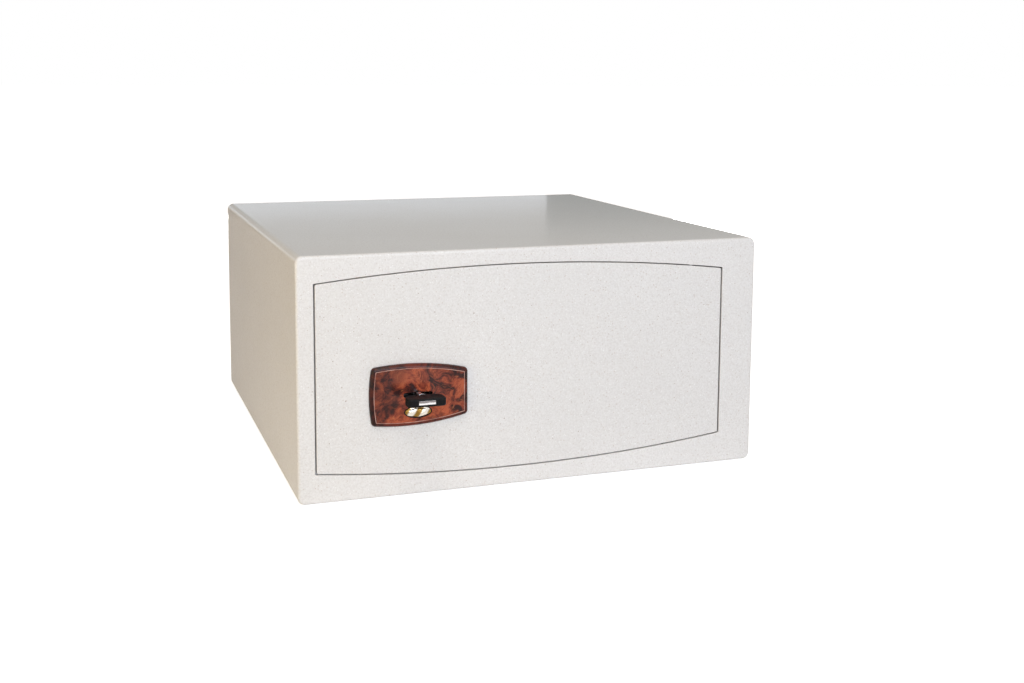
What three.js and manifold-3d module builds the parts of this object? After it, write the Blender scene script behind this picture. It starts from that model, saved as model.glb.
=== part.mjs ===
// A small hotel safe with a key lock: folded casing, flush bowed door, lever lock and boltwork.
// Millimetres, +Z up. The origin is the middle of the footprint, and the door faces -Y.
import * as THREE from 'three';
import { mergeVertices } from 'three/addons/utils/BufferGeometryUtils.js';
import Module from 'manifold-3d';

const wasm = await Module();
wasm.setup();

// Casing
const bodyWidth = 405;
const bodyHeight = 200;
const bodyDepth = 420;
const wallThickness = 3;
const bendRadius = 6;
const frontThickness = 2;
const frontReturn = 6;
const frontEdgeRadius = 2.5;
const backThickness = 3;
const matThickness = 3;
const matMargin = 6.5;
const matFrontDepth = 30;
const fixingHoleRadius = 5;
const backHoleSpacing = 200;
const floorHoleSpacing = 240;

// Door opening and door
const leftStile = 13.5;
const rightStile = 31.25;
const topRail = 12.75;
const bottomRail = 14.5;
const bowRadius = 1530;
const bowOffset = -21;
const sideGap = 1.75;
const bowGap = 1.25;
const doorThickness = 6;
const doorEdgeRadius = 0.75;
const doorCornerRadius = 1;

// Hinge
const hingeInset = 28;
const hingeDepth = 4.25;
const pinRadius = 2;
const pinInDoor = 16;
const pinProud = 1.5;
const bracketWidth = 26;
const bracketThickness = 4;
const bracketReach = 24;
const bracketWeb = 3;
const bracketFromRail = 7;
const lugHeight = 24;
const lugWidth = 18;
const lugThickness = 8;
const lugCorner = 3;
const lugFromBracket = 5.5;
const runningGap = 0.3;
const fitGap = 0.1;

// Door stops and hinge side dogs
const stopThickness = 2;
const stopLap = 5;
const stopSeat = 8;
const stopEnd = 118;
const boltWayEase = 1.25;
const stopFromBolt = 1;
const dogLength = 30;
const dogHeight = 20;
const dogThickness = 6;
const dogReach = 6.5;
const dogFromLug = 4;

// Lock plate, keyhole and oval stud
const plateLeft = 57.5;
const plateWidth = 82.25;
const plateTop = 109.5;
const plateBottom = 58.25;
const plateBow = 205;
const plateSideBow = 130;
const plateBowCentre = 88;
const plateCornerRadius = 3.5;
const plateThickness = 4.25;
const plateBevel = 3;
const plateFoot = 1;
const slotWidth = 24.25;
const slotHeight = 4;
const slotEyeRadius = 3.25;
const slotCorner = 1.5;
const linerMargin = 4;
const linerThickness = 2;
const ovalWidth = 21.5;
const ovalHeight = 8.25;
const ovalRim = 1;
const ovalDepth = 1.5;
const ovalDome = 1.5;
const ovalDrop = 14.25;

// Key and the rotor that turns with it
const keyX = 97.25;
const keyZ = 84.25;
const shankRadius = 2.75;
const bitThickness = 2.5;
const talonBit = 11.5;
const leverBits = [11.5, 9.5, 10.75, 8.75, 10.25, 11.25];
const headWidth = 31.5;
const headLength = 15;
const headThickness = 6.75;
const headCorner = 4;
const headEdge = 1.25;
const headStandoff = 18;
const tabWidth = 14;
const tabThickness = 3.5;
const tabRecess = 0.5;
const keyGap = 0.5;
const rotorRadius = 14.5;
const rotorFlange = 2;
const rotorFlangeThickness = 1.25;

// Lock case, levers and lock bolt
const caseHeight = 50;
const caseWall = 1.5;
const caseFront = 2;
const caseCorner = 4;
const coverThickness = 2;
const boltThrow = 10;
const lockBoltThickness = 3;
const lockBoltHeight = 31;
const tailHeight = 18;
const stumpSize = 3;
const leverCount = leverBits.length;
const leverThickness = 1.5;
const leverSpacing = 0.3;
const leverRim = 4;
const leverDrop = 3.5;
const pivotReach = 33;
const pivotRadius = 3;
const pivotBoss = 6;
const gateHeight = 3.75;
const windowEase = 1.5;
const gateWall = 3;
const springThickness = 0.5;
const springFoot = 15;

// Boltwork
const boltRadius = 9;
const boltSpacing = 90;
const boltDepth = 22;
const boltTipFromEdge = 1.5;
const boltNose = 1.5;
const barWidth = 11.5;
const barThickness = 4;
const barOverhang = 6;
const guideWidth = 10;
const guideWall = 3.5;

// Inner cover of the door
const panLeftMargin = 9;
const panRightMargin = 40;
const panEndMargin = 15;
const panDepth = 30;
const panWall = 1.5;
const panCorner = 6;
const studRadius = 4;
const studInset = 8.5;
const studFromRight = 14;
const studFromLeft = 60;
const screwRadius = 2;
const screwHeadRadius = 4;
const screwHeadHeight = 2.25;
const smallScrewRadius = 1.5;
const smallScrewHead = 3;
const smallScrewHeadHeight = 1.75;
const panScrewLength = 10;
const coverScrewLength = 12;
const barScrewLength = 6.5;
const fastenerGap = 0.25;

// Places that follow from the sizes above. Depth runs from the front plane, 0, into the safe.
const frontY = -bodyDepth / 2;
const leftX = -bodyWidth / 2;
const rightX = bodyWidth / 2;
const openingLeft = leftX + leftStile;
const openingRight = rightX - rightStile;
const openingTop = bodyHeight - topRail;
const doorLeft = openingLeft + sideGap;
const doorRight = openingRight - sideGap;
const hingeX = doorRight - hingeInset;
const midHeight = bodyHeight / 2;
const straight = 1e6;
const roundSteps = 20;
const ovalSteps = 28;

const steel = { roughness: 0.35, metalness: 1 };
const paint = { roughness: 0.5, metalness: 0 };

const material = (color, finish) => new THREE.MeshStandardMaterial({ color, ...finish });

const piece = (name, geometry, color, finish) => {
  const mesh = new THREE.Mesh(geometry, material(color, finish));
  mesh.name = name;
  return mesh;
};

// Solids are joined and cut as closed meshes with shared vertices.
function toSolid(geometry) {
  const bare = geometry.clone();
  bare.deleteAttribute('normal');
  bare.deleteAttribute('uv');
  const merged = mergeVertices(bare, 1e-4);
  return new wasm.Manifold(new wasm.Mesh({
    numProp: 3,
    vertProperties: new Float32Array(merged.attributes.position.array),
    triVerts: new Uint32Array(merged.index.array),
  }));
}

function toGeometry(solid) {
  const mesh = solid.getMesh();
  const geometry = new THREE.BufferGeometry();
  geometry.setAttribute('position', new THREE.BufferAttribute(mesh.vertProperties, 3));
  geometry.setIndex(new THREE.BufferAttribute(mesh.triVerts, 1));
  geometry.computeVertexNormals();
  return geometry;
}

function cut(geometry, ...tools) {
  return toGeometry(tools.reduce((solid, tool) => solid.subtract(toSolid(tool)), toSolid(geometry)));
}

function join(...geometries) {
  const [first, ...rest] = geometries;
  return toGeometry(rest.reduce((solid, other) => solid.add(toSolid(other)), toSolid(first)));
}

// A block between two corners given as [x, depth, z].
function block(low, high) {
  const size = high.map((value, axis) => value - low[axis]);
  const geometry = new THREE.BoxGeometry(...size);
  return geometry.translate(...low.map((value, axis) => value + size[axis] / 2));
}

// An outline in x and z, extruded from one depth to another.
function plate(outline, fromDepth, toDepth, holes = []) {
  const shape = new THREE.Shape(outline);
  shape.holes = holes.map((hole) => new THREE.Path(hole));
  const geometry = new THREE.ExtrudeGeometry(shape, {
    depth: toDepth - fromDepth,
    bevelEnabled: false,
  });
  return geometry.rotateX(Math.PI / 2).translate(0, toDepth, 0);
}

// A profile in depth and z, extruded along x.
function rail(profile, fromX, toX) {
  const shape = new THREE.Shape(profile.map(([depth, z]) => new THREE.Vector2(depth, z)));
  const geometry = new THREE.ExtrudeGeometry(shape, { depth: toX - fromX, bevelEnabled: false });
  return geometry.rotateX(Math.PI / 2).rotateZ(Math.PI / 2).translate(fromX, 0, 0);
}

// A round bar along x, depth or z, from one place on that axis to another.
function bar(radius, along, from, to, [first, second], steps = roundSteps) {
  const geometry = new THREE.CylinderGeometry(radius, radius, to - from, steps);
  const middle = (from + to) / 2;
  if (along === 'x') return geometry.rotateZ(-Math.PI / 2).translate(middle, first, second);
  if (along === 'z') return geometry.rotateX(Math.PI / 2).translate(first, second, middle);
  return geometry.translate(first, middle, second);
}

function circle(radius, x = 0, z = 0, steps = roundSteps) {
  return Array.from({ length: steps }, (_, index) => {
    const angle = (index / steps) * 2 * Math.PI;
    return new THREE.Vector2(x + radius * Math.cos(angle), z + radius * Math.sin(angle));
  });
}

function roundedBox(left, right, bottom, top, radius, steps = 6) {
  const corners = [
    [right - radius, top - radius],
    [left + radius, top - radius],
    [left + radius, bottom + radius],
    [right - radius, bottom + radius],
  ];
  return corners.flatMap(([x, z], quarter) => Array.from({ length: steps + 1 }, (_, index) => {
    const angle = (quarter + index / steps) * Math.PI / 2;
    return new THREE.Vector2(x + radius * Math.cos(angle), z + radius * Math.sin(angle));
  }));
}

// The corner, going round anticlockwise, where the edge of one disc gives way to the next.
function discCorner(first, next) {
  const across = new THREE.Vector2(next.x - first.x, next.z - first.z);
  const span = across.length();
  const along = (span ** 2 + first.radius ** 2 - next.radius ** 2) / (2 * span);
  const aside = Math.sqrt(first.radius ** 2 - along ** 2);
  const unit = across.divideScalar(span);
  const corners = [1, -1].map((side) => new THREE.Vector2(
    first.x + unit.x * along - side * unit.y * aside,
    first.z + unit.y * along + side * unit.x * aside,
  ));
  const turn = (at) => (at.x - first.x) * (at.y - next.z) - (at.y - first.z) * (at.x - next.x);
  return corners.find((corner) => turn(corner) > 0);
}

// The outline that several discs share, drawn in by an inset, with rounded corners.
function discOutline(discs, inset, cornerRadius, cornerSteps = 5) {
  const rounding = Math.max(cornerRadius - inset, 0.25);
  const shrunk = discs.map((disc) => ({ ...disc, radius: disc.radius - inset - rounding }));
  const corners = shrunk.map((disc, index) => discCorner(disc, shrunk[(index + 1) % shrunk.length]));
  const heading = (disc, at) => Math.atan2(at.y - disc.z, at.x - disc.x);
  const points = [];
  shrunk.forEach((disc, index) => {
    const from = corners[(index + corners.length - 1) % corners.length];
    const to = corners[index];
    const start = heading(disc, from);
    const sweep = (heading(disc, to) - start + 2 * Math.PI) % (2 * Math.PI);
    for (let step = 0; step <= disc.steps; step += 1) {
      const angle = start + (sweep * step) / disc.steps;
      const reach = disc.radius + rounding;
      points.push(new THREE.Vector2(disc.x + reach * Math.cos(angle), disc.z + reach * Math.sin(angle)));
    }
    const next = shrunk[(index + 1) % shrunk.length];
    const leave = heading(disc, to);
    const turn = (heading(next, to) - leave + 2 * Math.PI) % (2 * Math.PI);
    for (let step = 1; step < cornerSteps; step += 1) {
      const angle = leave + (turn * step) / cornerSteps;
      points.push(new THREE.Vector2(to.x + rounding * Math.cos(angle), to.y + rounding * Math.sin(angle)));
    }
  });
  return points;
}

// A closed solid through outlines with equal counts of points, each at its own depth, front first.
function loft(rings) {
  const count = rings[0].outline.length;
  const positions = rings.flatMap(({ outline, depth }) => outline.flatMap(({ x, y }) => [x, depth, y]));
  const faces = THREE.ShapeUtils.triangulateShape(rings[0].outline, []);
  const last = (rings.length - 1) * count;
  const triangles = faces.flatMap(([a, b, c]) => [a, b, c, last + a, last + c, last + b]);
  for (let ring = 0; ring < rings.length - 1; ring += 1) {
    for (let point = 0; point < count; point += 1) {
      const here = ring * count + point;
      const beside = ring * count + ((point + 1) % count);
      triangles.push(here, here + count, beside, beside, here + count, beside + count);
    }
  }
  const geometry = new THREE.BufferGeometry();
  geometry.setAttribute('position', new THREE.Float32BufferAttribute(positions, 3));
  geometry.setIndex(triangles);
  return toGeometry(toSolid(geometry));
}

// Rings of a quarter round: an inset that fades to nothing as the depth grows by the radius.
function quarterRound(outlineAt, fromDepth, radius, rise = radius, steps = 3) {
  return Array.from({ length: steps + 1 }, (_, index) => {
    const angle = (index / steps) * Math.PI / 2;
    return {
      outline: outlineAt(radius * (1 - Math.sin(angle))),
      depth: fromDepth + rise * (1 - Math.cos(angle)),
    };
  });
}

// Casing

const casingOutline = (inset) => roundedBox(
  leftX + inset,
  rightX - inset,
  inset,
  bodyHeight - inset,
  bendRadius - inset,
);

function bodyShell() {
  const wrap = plate(casingOutline(0), frontReturn, bodyDepth, [casingOutline(wallThickness)]);
  const holes = [-1, 1].map((side) => bar(
    fixingHoleRadius,
    'z',
    -1,
    wallThickness + 1,
    [side * floorHoleSpacing / 2, bodyDepth / 2],
  ));
  return cut(wrap, ...holes);
}

// The door opening, or the door itself when the gaps are taken off.
function doorOutline(gapAside, gapAbove, inset = 0, steps = 30) {
  const straightReach = straight - inset;
  const bowReach = bowRadius - gapAbove;
  const discs = [
    { x: openingRight - gapAside - straight, z: midHeight, radius: straightReach + inset, steps: 1 },
    { x: bowOffset, z: openingTop - bowRadius, radius: bowReach, steps },
    { x: openingLeft + gapAside + straight, z: midHeight, radius: straightReach + inset, steps: 1 },
    { x: bowOffset, z: bottomRail + bowRadius, radius: bowReach, steps },
  ];
  return discOutline(discs, inset, doorCornerRadius + inset, 3);
}

// A pressed panel: its rim turns back to meet the casing's wrap.
function frontFrame() {
  const rings = [
    ...quarterRound(casingOutline, 0, frontEdgeRadius, frontEdgeRadius, 4),
    { outline: casingOutline(0), depth: frontReturn },
  ];
  const hollow = plate(casingOutline(wallThickness), frontThickness, frontReturn + 1);
  return cut(loft(rings), hollow, plate(doorOutline(0, 0), -1, frontThickness + 1));
}

function backPanel() {
  const inner = roundedBox(
    leftX + wallThickness,
    rightX - wallThickness,
    wallThickness,
    bodyHeight - wallThickness,
    bendRadius - wallThickness + 1,
  );
  const holes = [-1, 1].map((side) => circle(fixingHoleRadius, side * backHoleSpacing / 2, midHeight));
  return plate(inner, bodyDepth - backThickness, bodyDepth, holes);
}

function floorMat() {
  const mat = block(
    [leftX + matMargin, matFrontDepth, wallThickness],
    [rightX - matMargin, bodyDepth - backThickness - 1, wallThickness + matThickness],
  );
  const holes = [-1, 1].map((side) => bar(
    fixingHoleRadius + 2,
    'z',
    wallThickness - 1,
    wallThickness + matThickness + 1,
    [side * floorHoleSpacing / 2, bodyDepth / 2],
  ));
  return cut(mat, ...holes);
}

const stopFront = doorThickness + runningGap;
const stopNear = (side) => boltHeight(side) + side * (boltRadius + stopFromBolt);

// A lip behind the opening's bowed edge, above or below mid height, on which the door comes to
// rest. Its web stands on the back of the front panel. It ends short of the hinge on one side and
// of the bolt on the other.
function doorStop(side) {
  const followed = (gap) => doorOutline(gap, gap, 0, 10);
  const outer = followed(-stopSeat);
  const lip = plate(outer, stopFront, stopFront + stopThickness, [followed(stopLap)]);
  const web = plate(outer, frontThickness, stopFront + 1, [followed(stopThickness - stopSeat)]);
  const hingeSide = block([stopEnd, 0, -1], [rightX, doorThickness * 2, bodyHeight + 1]);
  const near = stopNear(side);
  const otherPart = block(
    [leftX, 0, side > 0 ? -1 : near],
    [rightX, doorThickness * 2, side > 0 ? near : bodyHeight + 1],
  );
  return cut(join(lip, web), hingeSide, otherPart);
}

// A strip between the two stops that closes the gap on the lock side to the view. Its lip is so
// narrow that the retracted bolts swing past it.
function gapStrip() {
  const outer = openingLeft - stopSeat;
  const bottom = stopNear(-1) + runningGap;
  const top = stopNear(1) - runningGap;
  const lip = block([outer, stopFront, bottom], [boltTip - boltWayEase, stopFront + stopThickness, top]);
  const web = block([outer, frontThickness, bottom], [outer + stopThickness, stopFront + 1, top]);
  return join(lip, web);
}

// Hinge: pins in brackets behind the front panel reach into the door's own thickness, so that the
// bowed edges clear the opening as the door swings.

const bracketFace = (side) => (side > 0 ? openingTop - bracketFromRail : bottomRail + bracketFromRail);
const pinTip = (side) => bracketFace(side) - side * (lugFromBracket + pinInDoor);
const upright = (radius, from, to) => bar(
  radius,
  'z',
  Math.min(from, to),
  Math.max(from, to),
  [hingeX, hingeDepth],
);

function hingeBracket(side) {
  const near = bracketFace(side);
  const far = near + side * bracketThickness;
  const wall = side > 0 ? bodyHeight - wallThickness : wallThickness;
  const web = bracketReach - bracketWeb;
  const profile = [
    [frontThickness, near],
    [bracketReach, near],
    [bracketReach, wall],
    [web, wall],
    [web, far],
    [frontThickness, far],
  ];
  const angle = rail(
    side > 0 ? profile : profile.toReversed(),
    hingeX - bracketWidth / 2,
    hingeX + bracketWidth / 2,
  );
  return cut(angle, upright(pinRadius + fitGap, near - side, far + side));
}

const hingePin = (side) => upright(
  pinRadius,
  pinTip(side),
  bracketFace(side) + side * (bracketThickness + pinProud),
);

// The door's weight stands on a ball between the lower pin and the end of its hole.
const hingeBall = () => new THREE.SphereGeometry(pinRadius, 12, 8).translate(
  hingeX,
  hingeDepth,
  pinTip(-1) + pinRadius + fitGap,
);

function hingeHole(side) {
  const ballRoom = side > 0 ? runningGap : 2 * (pinRadius + fitGap);
  return upright(pinRadius + runningGap, pinTip(side) - side * ballRoom, bracketFace(side));
}

// A block behind the door closes the hole that breaks through the door's back.
function hingeLug(side) {
  const near = bracketFace(side) - side * lugFromBracket;
  const far = near - side * lugHeight;
  const back = doorThickness + lugThickness;
  const shape = new THREE.Shape();
  shape.moveTo(-lugWidth / 2, doorThickness);
  shape.lineTo(lugWidth / 2, doorThickness);
  shape.absarc(lugWidth / 2 - lugCorner, back - lugCorner, lugCorner, 0, Math.PI / 2);
  shape.absarc(lugCorner - lugWidth / 2, back - lugCorner, lugCorner, Math.PI / 2, Math.PI);
  const geometry = new THREE.ExtrudeGeometry(shape, {
    depth: lugHeight,
    bevelEnabled: false,
    curveSegments: 4,
  });
  return cut(geometry.translate(hingeX, 0, Math.min(near, far)), hingeHole(side));
}

// Door

const keyholeX = leftX + keyX;

function doorPlate() {
  const outlineAt = (inset) => doorOutline(sideGap + inset, bowGap + inset);
  const rings = [
    ...quarterRound(outlineAt, 0, doorEdgeRadius),
    { outline: outlineAt(0), depth: doorThickness },
  ];
  const hole = plate(circle(rotorRadius + runningGap, keyholeX, keyZ, 36), -1, doorThickness + 1);
  return cut(loft(rings), hole, hingeHole(1), hingeHole(-1));
}

function dog(side) {
  const lugFar = bracketFace(side) - side * (lugFromBracket + lugHeight);
  const middle = lugFar - side * (dogFromLug + dogHeight / 2);
  const end = doorRight + dogReach;
  const start = end - dogLength;
  const slope = dogThickness / 2;
  const shape = [
    new THREE.Vector2(start, middle - dogHeight / 2),
    new THREE.Vector2(end - slope, middle - dogHeight / 2),
    new THREE.Vector2(end, middle - dogHeight / 2 + slope),
    new THREE.Vector2(end, middle + dogHeight / 2 - slope),
    new THREE.Vector2(end - slope, middle + dogHeight / 2),
    new THREE.Vector2(start, middle + dogHeight / 2),
  ];
  return plate(shape, doorThickness, doorThickness + dogThickness);
}

const lockPlateDiscs = [
  { x: leftX + plateLeft + plateWidth - straight, z: (plateTop + plateBottom) / 2, radius: straight, steps: 1 },
  { x: leftX + plateBowCentre, z: plateTop - plateBow, radius: plateBow, steps: 14 },
  { x: leftX + plateLeft + plateSideBow, z: (plateTop + plateBottom) / 2, radius: plateSideBow, steps: 6 },
  { x: leftX + plateBowCentre, z: plateBottom + plateBow, radius: plateBow, steps: 14 },
];

const lockPlateOutline = (inset) => discOutline(lockPlateDiscs, inset, plateCornerRadius);

// The slot is a letterbox with a round eye in its middle. Its outline is drawn about the lock's axis.
function slotOutline(inset, steps = 5) {
  const halfWidth = slotWidth / 2 - inset;
  const halfHeight = slotHeight / 2 - inset;
  const eye = slotEyeRadius - inset;
  const corner = Math.min(Math.max(slotCorner - inset, 0.25), halfHeight - 0.1);
  const lap = Math.asin(halfHeight / eye);
  const arc = (x, z, radius, from, to) => Array.from({ length: steps + 1 }, (_, index) => {
    const angle = from + ((to - from) * index) / steps;
    return new THREE.Vector2(x + radius * Math.cos(angle), z + radius * Math.sin(angle));
  });
  const quarter = Math.PI / 2;
  return [
    ...arc(halfWidth - corner, halfHeight - corner, corner, 0, quarter),
    ...arc(0, 0, eye, lap, Math.PI - lap),
    ...arc(corner - halfWidth, halfHeight - corner, corner, quarter, 2 * quarter),
    ...arc(corner - halfWidth, corner - halfHeight, corner, 2 * quarter, 3 * quarter),
    ...arc(0, 0, eye, Math.PI + lap, 2 * Math.PI - lap),
    ...arc(halfWidth - corner, corner - halfHeight, corner, 3 * quarter, 4 * quarter),
  ];
}

const moved = (outline, x, z) => outline.map((point) => new THREE.Vector2(point.x + x, point.y + z));

function ovalOutline(inset) {
  const halfWidth = ovalWidth / 2 + ovalRim - inset;
  const halfHeight = ovalHeight / 2 + ovalRim - inset;
  return circle(1, 0, 0, ovalSteps).map((point) => new THREE.Vector2(
    keyholeX + halfWidth * point.x,
    keyZ - ovalDrop + halfHeight * point.y,
  ));
}

function lockPlate() {
  const face = -plateThickness;
  const rings = [
    ...quarterRound(lockPlateOutline, face, plateBevel, plateThickness - plateFoot, 5),
    { outline: lockPlateOutline(0), depth: 0 },
  ];
  const slot = plate(moved(slotOutline(0), keyholeX, keyZ), face - 1, 1);
  const recess = plate(ovalOutline(0), face - 1, face + ovalDepth);
  const seat = plate(moved(slotOutline(-linerMargin), keyholeX, keyZ), -linerThickness, 1);
  return cut(loft(rings), slot, recess, seat);
}

// The liner lies in a seat in the back of the lock plate.
function keyholeLiner() {
  const outer = slotOutline(runningGap / 2 - linerMargin);
  return plate(outer, -linerThickness, 0, [slotOutline(0)]);
}

function ovalStud() {
  const seat = ovalDepth - plateThickness;
  const crown = -plateThickness - ovalDome;
  return loft(domeRings((inset) => ovalOutline(ovalRim + inset), crown, seat));
}

// A crowned form: the inset grows towards the crown on a rounded profile.
function domeRings(outlineAt, crown, seat) {
  const steps = 5;
  const reach = ovalHeight * 0.42;
  const rings = Array.from({ length: steps + 1 }, (_, index) => {
    const angle = (index / steps) * Math.PI / 2;
    return {
      outline: outlineAt(reach * (1 - Math.sin(angle))),
      depth: crown + ovalDome * (1 - Math.cos(angle)),
    };
  });
  return [...rings, { outline: outlineAt(0), depth: seat }];
}

// Lock, drawn about the key's axis

const caseInner = doorThickness + caseFront;
const flangeFront = caseInner + runningGap;
const lockBoltFront = flangeFront + rotorFlangeThickness + 0.45;
const lockBoltBack = lockBoltFront + lockBoltThickness;
const leverPitch = leverThickness + leverSpacing;
const firstLever = lockBoltBack + 0.4;
const leverBack = firstLever + (leverCount - 1) * leverPitch + leverThickness;
const bitBack = leverBack + 0.6;
const caseBack = Math.ceil(bitBack + 1.5);
const widestWindow = Math.max(...leverBits) + windowEase;
const stumpX = -(widestWindow + gateWall + runningGap + stumpSize / 2 + 0.75);
const pocketHalf = stumpSize / 2 + 0.75;
const leverEnd = stumpX - boltThrow - pocketHalf - gateWall;
const caseLeft = leverEnd - caseWall - 1.5;
const caseRight = pivotReach + pivotBoss + caseWall + 1;

function lockCase() {
  const half = caseHeight / 2;
  const outer = plate(roundedBox(caseLeft, caseRight, -half, half, caseCorner), doorThickness, caseBack);
  const inner = roundedBox(
    caseLeft + caseWall,
    caseRight - caseWall,
    caseWall - half,
    half - caseWall,
    caseCorner - caseWall,
  );
  const hollow = plate(inner, caseInner, caseBack + 1);
  const rotorHole = plate(circle(rotorRadius + runningGap, 0, 0, 36), doorThickness - 1, caseInner + 1);
  const tailSlot = block(
    [caseLeft - 1, lockBoltFront - runningGap, -tailHeight / 2 - runningGap],
    [caseLeft + caseWall + 1, lockBoltBack + runningGap, tailHeight / 2 + runningGap],
  );
  const tray = cut(outer, hollow, rotorHole, tailSlot);
  const bosses = bossPlaces().map(([x, z]) => bar(bossRadius, 'y', caseInner - 1, caseBack, [x, z], 16));
  const holes = bossPlaces().map(([x, z]) => bar(
    smallScrewRadius + fastenerGap,
    'y',
    caseBack + coverThickness - coverScrewLength - 1,
    caseBack + 1,
    [x, z],
    12,
  ));
  return cut(join(tray, ...bosses), ...holes);
}

const bossRadius = smallScrewRadius + 1.75;

function bossPlaces() {
  const z = caseHeight / 2 - caseWall - bossRadius + 0.5;
  return [
    [caseRight - caseWall - bossRadius + 0.5, z],
    [caseLeft + caseWall + bossRadius - 0.5, -z],
  ];
}

function lockCover() {
  const half = caseHeight / 2;
  const holes = bossPlaces().map(([x, z]) => circle(smallScrewRadius + fastenerGap, x, z, 12));
  const outline = roundedBox(caseLeft, caseRight, -half, half, caseCorner);
  return plate(outline, caseBack, caseBack + coverThickness, holes);
}

// A pan head screw along the depth, its head behind a face.
function screw(radius, headRadius, headHeight, face, length) {
  const crown = face + headHeight;
  const profile = [
    new THREE.Vector2(0, face - length),
    new THREE.Vector2(radius, face - length),
    new THREE.Vector2(radius, face),
    new THREE.Vector2(headRadius, face),
    new THREE.Vector2(headRadius, face + headHeight * 0.45),
    new THREE.Vector2(headRadius * 0.82, face + headHeight * 0.85),
    new THREE.Vector2(headRadius * 0.5, crown),
    new THREE.Vector2(0, crown),
  ];
  const turned = new THREE.LatheGeometry(profile, 12);
  const slot = headRadius * 0.6;
  const blades = [
    block([-slot, crown - headHeight * 0.5, -0.4], [slot, crown + 1, 0.4]),
    block([-0.4, crown - headHeight * 0.5, -slot], [0.4, crown + 1, slot]),
  ];
  return cut(turned, ...blades);
}

function keyCurtain() {
  const barrel = plate(circle(rotorRadius, 0, 0, 36), runningGap, flangeFront + rotorFlangeThickness / 2);
  const flange = plate(
    circle(rotorRadius + rotorFlange, 0, 0, 36),
    flangeFront,
    flangeFront + rotorFlangeThickness,
  );
  const half = talonBit + keyGap;
  const bitSlot = roundedBox(-half, half, -bitThickness / 2 - runningGap, bitThickness / 2 + runningGap, 0.5, 2);
  return cut(
    join(barrel, flange),
    plate(bitSlot, -1, caseBack),
    plate(circle(shankRadius + runningGap), -1, caseBack),
  );
}

// The bits step from lever to lever, alike on both sides of the shank.
function keyBlank() {
  const steps = [{ from: lockBoltFront - 0.25, to: lockBoltBack + 0.2, reach: talonBit }];
  leverBits.forEach((reach, index) => {
    const from = firstLever + index * leverPitch - leverSpacing / 2;
    steps.push({ from, to: from + leverPitch, reach });
  });
  steps[0].to = steps[1].from;
  const edge = steps.flatMap(({ from, to, reach }) => [[from, reach], [to, reach]]);
  const outline = [...edge, ...edge.map(([depth, reach]) => [depth, -reach]).toReversed()];
  const shape = new THREE.Shape(outline.map(([depth, reach]) => new THREE.Vector2(reach, depth)));
  const bits = new THREE.ExtrudeGeometry(shape, { depth: bitThickness, bevelEnabled: false });
  bits.translate(0, 0, -bitThickness / 2);
  const shank = bar(shankRadius, 'y', 1 - headStandoff, bitBack, [0, 0]);
  const collar = bar(shankRadius + 1, 'y', 1 - headStandoff, 3 - headStandoff, [0, 0]);
  const tab = block(
    [-tabWidth / 2, tabRecess - headStandoff - headLength, -tabThickness / 2],
    [tabWidth / 2, 1.5 - headStandoff, tabThickness / 2],
  );
  return join(shank, bits, collar, tab);
}

function keyHead() {
  const outline = roundedBox(
    headEdge - headWidth / 2,
    headWidth / 2 - headEdge,
    headEdge - headStandoff - headLength,
    -headStandoff - headEdge,
    headCorner - headEdge,
  );
  const geometry = new THREE.ExtrudeGeometry(new THREE.Shape(outline), {
    depth: headThickness - 2 * headEdge,
    bevelThickness: headEdge,
    bevelSize: headEdge,
    bevelSegments: 3,
  });
  geometry.translate(0, 0, headEdge - headThickness / 2);
  const pocket = block(
    [-tabWidth / 2 - 0.2, -headStandoff - headLength - 1, -tabThickness / 2 - 0.2],
    [tabWidth / 2 + 0.2, 1 - headStandoff, tabThickness / 2 + 0.2],
  );
  return cut(geometry, pocket);
}

// Each lever pivots on the post, is lifted by its own step of the bit, and holds the bolt's stump
// in one of two pockets that a gate joins.
function lever(index) {
  const front = firstLever + index * leverPitch;
  const back = front + leverThickness;
  const widest = Math.max(...leverBits);
  const half = widest + runningGap + leverRim;
  const windowHalf = leverBits[index] + runningGap;
  const windowEnd = widest + windowEase;
  const body = plate(roundedBox(-half - 1, half + 1, -half, half, half * 0.7, 5), front, back);
  const gateBlock = plate(roundedBox(leverEnd, 0, -gateDepth, gateRise, 2.5, 3), front, back);
  const arm = plate(armOutline(), front, back);
  const windowCut = plate(
    roundedBox(-windowEnd, windowEnd, -windowHalf, windowHalf, windowHalf * 0.98, 6),
    front - 1,
    back + 1,
  );
  const pocket = (x) => block(
    [x - pocketHalf, front - 1, -gateHeight / 2],
    [x + pocketHalf, back + 1, stumpSize / 2 + stumpRise],
  );
  const gate = block(
    [stumpX - boltThrow, front - 1, -gateHeight / 2],
    [stumpX, back + 1, gateHeight / 2],
  );
  const pivot = bar(pivotRadius + runningGap, 'y', front - 1, back + 1, [pivotReach, 0], 20);
  return cut(join(body, gateBlock, arm), windowCut, pocket(stumpX), pocket(stumpX - boltThrow), gate, pivot);
}

const stumpRise = (pivotReach - stumpX + boltThrow) * Math.sin(THREE.MathUtils.degToRad(leverDrop)) + 0.6;
const gateRise = stumpSize / 2 + stumpRise + gateWall;
const gateDepth = gateHeight / 2 + gateWall + 2;

function armOutline() {
  const shape = new THREE.Shape();
  const quarter = Math.PI / 2;
  shape.moveTo(0, -pivotBoss);
  shape.lineTo(pivotReach, -pivotBoss);
  shape.absarc(pivotReach, 0, pivotBoss, -quarter, quarter);
  shape.lineTo(0, pivotBoss + 3);
  return shape.getPoints(8);
}

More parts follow.
